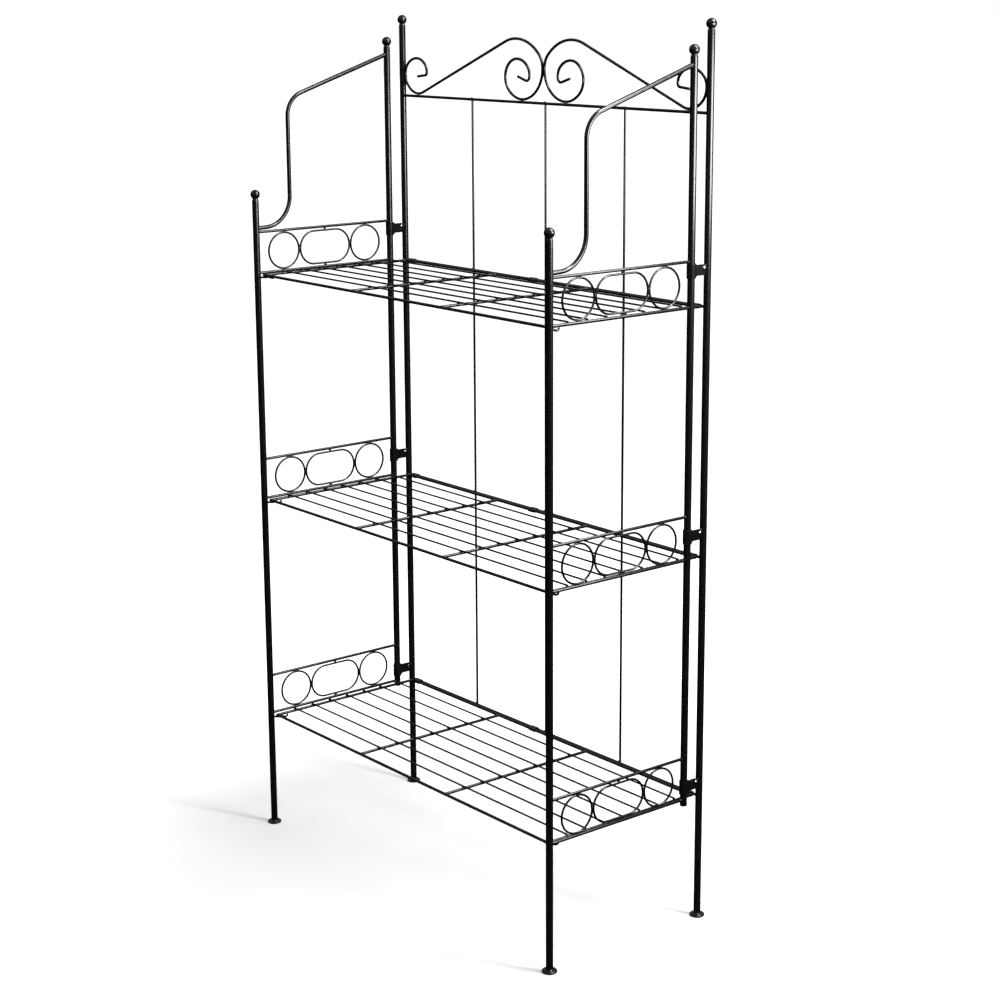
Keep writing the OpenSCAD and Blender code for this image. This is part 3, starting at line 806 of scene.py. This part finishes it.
class RACK_OT_ring_bands(RackOperator):
    """Bends the rings and oblongs between the rails."""

    bl_idname = "rack.ring_bands"
    bl_label = "Ring bands"

    def execute(self, context):
        for side, sign in SIDES:
            for level in LEVELS:
                x = sign * post_x
                loops = [([(p, 1.0) for p in self.loop(x, *shape)], True) for shape in ring_shapes(level)]
                stubs = [([(Vector(p), 1.0) for p in self.stub(x, level, end)], False) for end in (-1, 1)]
                name = f"{side}_{level}_rings"
                radius = ring_wire_r + self.sizes().coat_depth
                piece = sweep(f"{name}_bent", loops + stubs, radius, "Wire coat")
                dress(piece, f"{side}_side", [name])
        return {"FINISHED"}

    def loop(self, x, y, z, half_w, half_h):
        """Points of a loop with two round ends, and two straight runs where it is wider than it is high."""
        straight = half_w - half_h
        count = 24
        ends = [arc_points((y + shift, z), half_h, start, 180, count)
                for start, shift in ((-90, straight), (90, -straight))]
        return [Vector((x, u, v)) for end in ends for u, v in (end if straight else end[:-1])]

    def stub(self, x, level, end):
        """The short upright between the oblong's straight run and a rail, below for -1 and above for 1."""
        _, (y, middle_z, _, half_h), _ = ring_shapes(level)
        rail_z = (upper_z if end > 0 else lower_z)[level]
        return [(x, y, middle_z + end * half_h), (x, y, rail_z - end * (rail_r - ring_wire_r))]


class RACK_OT_braces(RackOperator):
    """Bends the braces that stiffen the sides above the top shelf."""

    bl_idname = "rack.braces"
    bl_label = "Braces"

    def execute(self, context):
        sizes = self.sizes()
        low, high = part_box("right_brace")
        top_slope, foot_slope = sizes.brace_slopes
        top_r, foot_r = sizes.brace_bends
        top_turn, foot_turn = math.pi / 2 - top_slope, math.pi / 2 - foot_slope
        run = rear_y - front_y - sizes.brace_run
        corner = top_r * math.tan(top_turn / 2)
        top_z = high.z - (brace_r / math.cos(top_slope)) + post_r * math.tan(top_slope)
        foot_z = low.z + (brace_r / math.cos(foot_slope)) - post_r * math.tan(foot_slope)
        corner_z = top_z - run * math.tan(top_slope)
        foot_l = (sizes.brace_run - foot_r * (1 - math.cos(foot_turn))) / math.cos(foot_slope)
        bend_z = foot_z + foot_l * math.sin(foot_slope) + foot_r * math.sin(foot_turn)
        steps = [(run / math.cos(top_slope) - corner,), (top_r, top_turn), (corner_z - corner - bend_z,),
                 (foot_r, -foot_turn), (foot_l,)]
        flat = bent_path((rear_y, top_z), math.pi + top_slope, steps, sizes.bend_step)
        for side, sign in SIDES:
            line = [(sign * post_x, y, z) for y, z in flat]
            rods(f"{side}_brace_bent", [line], brace_r, f"{side}_side", f"{side}_brace")
        return {"FINISHED"}


class RACK_OT_hooks(RackOperator):
    """Bends the hooks that carry the shelves."""

    bl_idname = "rack.hooks"
    bl_label = "Shelf hooks"

    def execute(self, context):
        step = self.sizes().bend_step
        hook_r, rest_gap = 2.0 * MM, 0.3 * MM
        inset = post_x - (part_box("right_hooks")[0].x + hook_r)
        bend_r, slant, run = 6 * MM, math.pi / 4, 2 * MM
        dip_r, dip, seat, tip_r, tip = 8 * MM, math.radians(20), 5 * MM, 5 * MM, math.pi / 2
        slant_l = (inset - bend_r * (1 - math.cos(slant))) / math.sin(slant)
        flat = bent_path((0, 0), math.pi / 2 + slant, [(slant_l,), (bend_r, -slant), (run,)], step)
        rise = bent_path((flat[-1].y, 0), 0, [(dip_r, -dip), (seat,), (tip_r, tip)], step)
        for side, sign in SIDES:
            lines = []
            for level in LEVELS:
                z = shelf_z[level] - shelf_rod_r - rest_gap - hook_r
                line = [(sign * (post_x + p.x), front_y + p.y, z) for p in flat]
                line += [(sign * (post_x - inset), front_y + p.x, z + p.y) for p in rise[1:]]
                lines.append(line)
            rods(f"{side}_hooks_bent", lines, hook_r, f"{side}_side", f"{side}_hooks", "Wire coat")
        return {"FINISHED"}


class RACK_OT_back_rails(RackOperator):
    """Draws the rails and upright rods of the back."""

    bl_idname = "rack.back_rails"
    bl_label = "Back rails and rods"

    def execute(self, context):
        reach = post_x - post_r + RAIL_SINK
        for name in ("top_rail", *(f"{level}_cross_rail" for level in LEVELS)):
            z = centre(name).z
            rods(f"{name}_drawn", [[(-reach, back_y, z), (reach, back_y, z)]], rail_r, "back_frame", name)
        low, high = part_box("back_rods")
        y = (low.y + high.y) / 2
        uprights = [[(x, y, low.z), (x, y, high.z)] for x in back_rod_places()]
        rods("back_rods_drawn", uprights, back_rod_r + self.sizes().coat_depth, "back_frame", "back_rods")
        return {"FINISHED"}


# Ends of a small curl and of a big spiral: a run, a bend radius, its turn in degrees and a last run
CURL_TIP = (1 * MM, 6 * MM, 84, 24 * MM)
SPIRAL_TIP = (3 * MM, 8 * MM, 107, 24 * MM)


def scroll_path(sizes):
    """Centre line of the left scroll, as (x, z): curl tip, curl, bar, spiral and spiral tip."""
    low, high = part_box("left_scroll")
    base_z = low.z + scroll_r
    spiral_x = high.x - scroll_r - sizes.spiral_widths[0]
    spiral_z = base_z + sizes.spiral_heights[0] + sizes.spiral_heights[1]
    curl_x = low.x + scroll_r + sizes.curl_widths[0]
    curl_r, spiral_r = sizes.bar_bends
    run = spiral_x - curl_x
    rise = spiral_z - spiral_r - base_z - curl_r
    span = math.hypot(run, rise)
    slope = math.atan2(rise, run) + math.asin((curl_r + spiral_r) / span)
    bar = [(curl_r, slope), (math.sqrt(span ** 2 - (curl_r + spiral_r) ** 2),), (spiral_r, -slope)]
    curl_steps = spiral_steps(sizes.curl_widths, sizes.curl_heights, CURL_TIP)
    curl = bent_path((curl_x, base_z), math.pi, curl_steps, sizes.bend_step)
    middle = bent_path((curl_x, base_z), 0, bar, sizes.bend_step)
    steps = spiral_steps(sizes.spiral_widths, sizes.spiral_heights, SPIRAL_TIP)
    spiral = bent_path((spiral_x, spiral_z), 0, steps, sizes.bend_step)
    return curl[:0:-1] + middle[:-1] + spiral


class RACK_OT_scrolls(RackOperator):
    """Bends the two scrolls on the top rail."""

    bl_idname = "rack.scrolls"
    bl_label = "Scrolls"

    def execute(self, context):
        flat = scroll_path(self.sizes())
        for side, sign in SIDES:
            line = [(-sign * x, back_y, z) for x, z in flat]
            rods(f"{side}_scroll_bent", [line], scroll_r, "back_frame", f"{side}_scroll")
        return {"FINISHED"}


class RACK_OT_strap_hinges(RackOperator):
    """Folds the hinge straps, sets the tabs that they grip and turns their bolts."""

    bl_idname = "rack.strap_hinges"
    bl_label = "Strap hinges"

    collar_height: length("Collar height", "Height of a collar", 0.025)
    neck_bend: length("Neck bend", "Bend radius between a collar and its ears", 0.002)
    ear_space: length("Ear space", "Space between the ears and the back post", 0.0004)
    bolt_rise: length("Bolt rise", "Height of a bolt above its strap's middle", 0.003)

    def execute(self, context):
        edge = 0.3 * MM
        bolt_y = centre("right_hinge_bolts").y
        for side, sign in SIDES:
            straps, bolts = bmesh.new(), bmesh.new()
            for level, drop in zip(LEVELS, self.sizes().strap_drops):
                middle = Vector((sign * post_x, rear_y, upper_z[level] - drop))
                self.strap(straps, middle)
                self.tab(straps, middle)
                self.bolt(bolts, Vector((middle.x, bolt_y, middle.z + self.bolt_rise)), sign)
            piece = rounded_edges(new_piece(f"{side}_hinge_straps_folded", straps, "Tube coat"), edge)
            dress(piece, "back_frame", [f"{side}_hinge_straps"])
            piece = new_piece(f"{side}_hinge_bolts_turned", bolts, "Plated steel")
            dress(piece, "back_frame", [f"{side}_hinge_bolts"])
        return {"FINISHED"}

    def ear_end(self):
        """Distance from the rear post's centre to the ears' ends."""
        return back_y - rear_y - post_r - self.ear_space

    def half_height(self, y):
        """Half of a strap's height at a distance from the rear post's centre."""
        sizes = self.sizes()
        collar, ear = self.collar_height / 2, sizes.ear_height / 2
        flared = collar - max(0, y - (post_r + sizes.strap_wall))
        past = max(0, y - (self.ear_end() - sizes.ear_corner))
        rounding = sizes.ear_corner - math.sqrt(max(0, sizes.ear_corner ** 2 - past ** 2))
        return min(collar, max(ear, flared)) - rounding

    def strap(self, bm, middle):
        """A sheet bent round the rear post, whose two ends lie on both sides of the tab."""
        sizes = self.sizes()
        ear_x = (sizes.tab_wall + sizes.strap_wall) / 2 + WELD_GAP
        bend_r = post_r + RUN_GAP + sizes.strap_wall / 2
        neck_x = ear_x + self.neck_bend
        neck_y = math.sqrt((bend_r + self.neck_bend) ** 2 - neck_x ** 2)
        neck_turn = math.degrees(math.atan2(neck_y, neck_x))
        corner_angles = (90, 70, 50, 30, 15, 0)
        ears = [self.ear_end() - sizes.ear_corner * (1 - math.sin(math.radians(a))) for a in corner_angles]
        flare = post_r + sizes.strap_wall + (self.collar_height - sizes.ear_height) / 2
        half = [((ear_x, y), (1, 0)) for y in (*ears, flare, (flare + neck_y) / 2, neck_y)]
        for x, y in arc_points((neck_x, neck_y), self.neck_bend, 180, neck_turn, 6)[1:]:
            half.append(((x, y), ((neck_x - x) / self.neck_bend, (neck_y - y) / self.neck_bend)))
        collar = arc_points((0, 0), 1, neck_turn, -(180 + 2 * neck_turn), 34)[1:-1]
        ring = [((bend_r * x, bend_r * y), (x, y)) for x, y in collar]
        mirrored = [((-x, y), (-nx, ny)) for (x, y), (nx, ny) in reversed(half)]
        stations = [(point, normal, -self.half_height(point[1]), self.half_height(point[1]))
                    for point, normal in (*half, *ring, *mirrored)]
        band(bm, stations, sizes.strap_wall, lambda u, v, w: middle + Vector((u, v, w)))

    def tab(self, bm, middle):
        """A plate that stands on the back post, its foot a little inside the tube."""
        sizes = self.sizes()
        reach, height = sizes.tab_size
        sink = 0.3 * MM
        foot = post_r - sink
        place = Matrix.Translation((middle.x, back_y - (reach + foot) / 2, middle.z))
        shape = Matrix.Diagonal((sizes.tab_wall, reach - foot, height, 1))
        bmesh.ops.create_cube(bm, size=1, matrix=place @ shape)

    def bolt(self, bm, middle, sign):
        """A domed head outside, the shank, and the riveted end inside."""
        sizes = self.sizes()
        seat = sizes.tab_wall / 2 + sizes.strap_wall + 2 * WELD_GAP
        head_r, head_h, shank_r, under_cut = 3.7 * MM, 2.3 * MM, 2.0 * MM, 0.2 * MM
        rivet = [(radius * MM, -seat - height * MM)
                 for radius, height in ((0, 1.2), (2.2, 1.2), (2.8, 0.8), (3.0, 0))]
        dome_r = (head_r ** 2 + head_h ** 2) / (2 * head_h)
        rim = math.degrees(math.asin((dome_r - head_h) / dome_r))
        dome = arc_points((0, seat + head_h - dome_r), dome_r, rim, 90 - rim, 8)[:-1]
        profile = [*rivet, (shank_r, -seat), (shank_r, seat), (head_r - under_cut, seat), *dome,
                   (0, seat + head_h)]
        turned(bm, profile, middle, (sign, 0, 0), sides=32)


class RACK_OT_shelf_clips(RackOperator):
    """Folds the clips that hold the shelves' rear rods."""

    bl_idname = "rack.shelf_clips"
    bl_label = "Shelf clips"

    def execute(self, context):
        wall = self.sizes().clip_wall
        clip_l, middle_x, edge = 17 * MM, -27 * MM, 0.25 * MM
        radius = shelf_rod_r + RUN_GAP + wall / 2
        for level in LEVELS:
            low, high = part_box(f"{level}_shelf_clips")
            bm = bmesh.new()
            for start in (low.x, middle_x - clip_l / 2, high.x - clip_l):
                stations = [((y + radius * u, shelf_z[level] + radius * v), (u, v), start, start + clip_l)
                            for y, angle in ((back_y, -90), (rear_rod_y(level), 90))
                            for u, v in arc_points((0, 0), 1, angle, 180, 18)]
                band(bm, stations, wall, lambda u, v, w: Vector((w, u, v)), closed=True)
            piece = rounded_edges(new_piece(f"{level}_shelf_clips_folded", bm, "Tube coat"), edge)
            dress(piece, "back_frame", [f"{level}_shelf_clips"])
        return {"FINISHED"}


class RACK_OT_shelves(RackOperator):
    """Draws the rods and wires of the shelves."""

    bl_idname = "rack.shelves"
    bl_label = "Shelves"

    def execute(self, context):
        for level in LEVELS:
            z, front, rear = shelf_z[level], front_rod_y(level), rear_rod_y(level)
            for part, y in (("front_rod", front), ("rear_rod", rear)):
                low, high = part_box(f"{level}_{part}")
                self.add(level, part, [[(low.x, y, z), (high.x, y, z)]])
            for part in ("end_rods", "cross_rods"):
                x = end_rod_x(level, part)
                self.add(level, part, [[(sign * x, front, z), (sign * x, rear, z)] for sign in (-1, 1)])
            low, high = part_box(f"{level}_wires")
            lines = [[(low.x, y, low.z + wire_r), (high.x, y, low.z + wire_r)] for y in wire_places(level)]
            self.add(level, "wires", lines, wire_r + self.sizes().coat_depth, "Wire coat", "wire_paint")
        return {"FINISHED"}

    def add(self, level, part, lines, radius=shelf_rod_r, coat="Rod coat", slot="frame_paint"):
        """Rods or wires of one shelf."""
        rods(f"{level}_shelf_{part}", lines, radius, f"{level}_shelf", f"{level}_{part}", coat)


class RACK_OT_welds(RackOperator):
    """Runs a bead or a nugget of weld at every joint."""

    bl_idname = "rack.welds"
    bl_label = "Welds"

    NUGGET, BEAD = 0, 1

    # How far a bead's foot lies inside a post, and inside a rod
    POST_SINK = 1.3 * MM
    ROD_SINK = 0.9 * MM

    # Half sizes of the nuggets in millimetres, by what they join
    NUGGETS = {
        "ring and rail": (1.6, 2.6, 1.3), "ring and oblong": (1.3, 1.2, 3.4),
        "back rod and rail": (2.4, 1.2, 2.6), "tab and post": (1.1, 1.1, 7),
        "scroll and rail": (4.2, 2.3, 1.9), "two scrolls": (1.4, 2.2, 7), "wire and rod": (2.5, 2.1, 0.9)}

    def execute(self, context):
        for side, sign in SIDES:
            self.grow_welds(f"{side}_side", self.side_welds(sign))
        self.grow_welds("back_frame", self.back_welds())
        for level in LEVELS:
            self.grow_welds(f"{level}_shelf", self.shelf_welds(level))
        return {"FINISHED"}

    def grow_welds(self, body, welds):
        """Turns (kind, place, axis, size) rows into one mesh that rides on a body."""
        sizes = self.sizes()
        kinds, places, axes, halves = zip(*welds)
        mesh = bpy.data.meshes.new(f"{body}_welds")
        mesh.from_pydata(places, [], [])
        mesh.attributes.new("kind", "INT", "POINT").data.foreach_set("value", kinds)
        for label, rows in (("axis", axes), ("size", halves)):
            flat = [number for row in rows for number in row]
            mesh.attributes.new(label, "FLOAT_VECTOR", "POINT").data.foreach_set("vector", flat)
        piece = grow(f"{body}_welds", mesh, "Weld beads", "Rod coat", {
            "Flare": sizes.weld_flare, "Length": sizes.weld_length, "Unevenness": sizes.weld_rough})
        dress(piece, body, [])

    def bead(self, place, axis, radius):
        """A flared bead round a rod that leaves a post or rod at a place, along an axis."""
        return (self.BEAD, place, axis, (radius, radius, radius))

    def bead_reach(self, round_r, sink, rod_r):
        """Distance from the middle of a post or rod to the middle of a bead on it."""
        return round_r - sink + self.sizes().weld_length * rod_r / 2

    def nugget(self, joint, place):
        """A lump of weld at a place."""
        return (self.NUGGET, place, (0, 0, 1), [half * MM for half in self.NUGGETS[joint]])

    def side_welds(self, sign):
        """Welds of a side's rails to its posts, and of its loops to the rails and to each other."""
        x = sign * post_x
        foot = self.bead_reach(post_r, self.POST_SINK, rail_r)
        off_rail = 0.4 * MM
        for z in (*upper_z.values(), *lower_z.values()):
            for y, way in ((front_y + foot, 1), (rear_y - foot, -1)):
                yield self.bead((x, y, z), (0, way, 0), rail_r)
        for level in LEVELS:
            (near, z, half_w, _), (middle, *_), (far, *_) = ring_shapes(level)
            for y in (near, middle, far):
                yield self.nugget("ring and rail", (x, y, upper_z[level] - rail_r - off_rail))
                yield self.nugget("ring and rail", (x, y, lower_z[level] + rail_r + off_rail))
            for y, way in ((near, 1), (far, -1)):
                yield self.nugget("ring and oblong", (x, y + way * (half_w + ring_wire_r), z))

    def back_welds(self):
        """Welds of the back's rails, tabs, upright rods and scrolls."""
        foot = self.bead_reach(post_r, self.POST_SINK, rail_r)
        half_tab = self.sizes().tab_wall / 2
        rails = (top_rail_z, *shelf_z.values())
        for z in rails:
            for sign in (-1, 1):
                yield self.bead((sign * (post_x - foot), back_y, z), (-sign, 0, 0), rail_r)
        for level, drop in zip(LEVELS, self.sizes().strap_drops):
            for x in (-post_x, post_x):
                for face_x in (x - half_tab, x + half_tab):
                    yield self.nugget("tab and post", (face_x, back_y - post_r, upper_z[level] - drop))
        for x in back_rod_places():
            for z in rails:
                yield self.nugget("back rod and rail", (x, back_y + rail_r, z))
        yield from self.scroll_welds()

    def scroll_welds(self):
        """Nuggets where the scrolls stand on the top rail, and where they meet in the middle."""
        sizes = self.sizes()
        low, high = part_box("left_scroll")
        spiral_x = high.x - scroll_r - sizes.spiral_widths[1]
        curl_x = low.x + scroll_r + sizes.curl_widths[0]
        off_rail = 0.6 * MM
        for x in (spiral_x, curl_x, -spiral_x, -curl_x):
            yield self.nugget("scroll and rail", (x, back_y, top_rail_z + rail_r + off_rail))
        yield self.nugget("two scrolls", (0, back_y, low.z + scroll_r + sizes.spiral_heights[1]))

    def shelf_welds(self, level):
        """Welds of a shelf's end rods and cross rods to its front and rear rods, and to its wires."""
        z = shelf_z[level]
        end_x, cross_x = end_rod_x(level, "end_rods"), end_rod_x(level, "cross_rods")
        foot = self.bead_reach(shelf_rod_r, self.ROD_SINK, shelf_rod_r)
        for x in (-end_x, -cross_x, cross_x, end_x):
            yield self.bead((x, front_rod_y(level) + foot, z), (0, 1, 0), shelf_rod_r)
            yield self.bead((x, rear_rod_y(level) - foot, z), (0, -1, 0), shelf_rod_r)
            for y in wire_places(level):
                yield self.nugget("wire and rod", (x, y, z + shelf_rod_r))


class RACK_PT_panel(bpy.types.Panel):
    """Lists the rack's operators and sizes."""

    bl_idname = "RACK_PT_panel"
    bl_label = "Folding Wire Rack"
    bl_space_type = "VIEW_3D"
    bl_region_type = "UI"
    bl_category = "Rack"

    def draw(self, context):
        for operator in OPERATORS:
            self.layout.operator(operator.bl_idname)
        for group in (context.scene.rack_sizes, context.scene.rack_finish, context.scene.rack_view):
            box = self.layout.box()
            for name in group.bl_rna.properties.keys():
                if name not in ("rna_type", "name"):
                    box.prop(group, name)


GROUPS = (("rack_sizes", RackSizes), ("rack_finish", RackFinish), ("rack_view", RackView))
OPERATORS = (
    RACK_OT_stage, RACK_OT_posts, RACK_OT_side_rails, RACK_OT_ring_bands, RACK_OT_braces, RACK_OT_hooks,
    RACK_OT_back_rails, RACK_OT_scrolls, RACK_OT_strap_hinges, RACK_OT_shelf_clips, RACK_OT_shelves,
    RACK_OT_welds)


def register():
    """Adds the rack's classes, and their settings on the scene."""
    for _, group in GROUPS:
        bpy.utils.register_class(group)
    for cls in (*OPERATORS, RACK_PT_panel):
        bpy.utils.register_class(cls)
    for name, group in GROUPS:
        setattr(bpy.types.Scene, name, PointerProperty(type=group))


def unregister():
    """Takes them away again."""
    for name, _ in GROUPS:
        delattr(bpy.types.Scene, name)
    for cls in (RACK_PT_panel, *reversed(OPERATORS)):
        bpy.utils.unregister_class(cls)
    for _, group in reversed(GROUPS):
        bpy.utils.unregister_class(group)


def main():
    """Builds the materials, the trees and every piece."""
    register()
    powder_coat_group()
    rod_tree()
    weld_tree()
    coat_material("Tube coat", 1.0)
    coat_material("Rod coat", 0.7)
    coat_material("Wire coat", 0.5)
    steel_material()
    for operator in OPERATORS:
        group, name = operator.bl_idname.split(".")
        getattr(getattr(bpy.ops, group), name)()


if __name__ == "__main__":
    main()
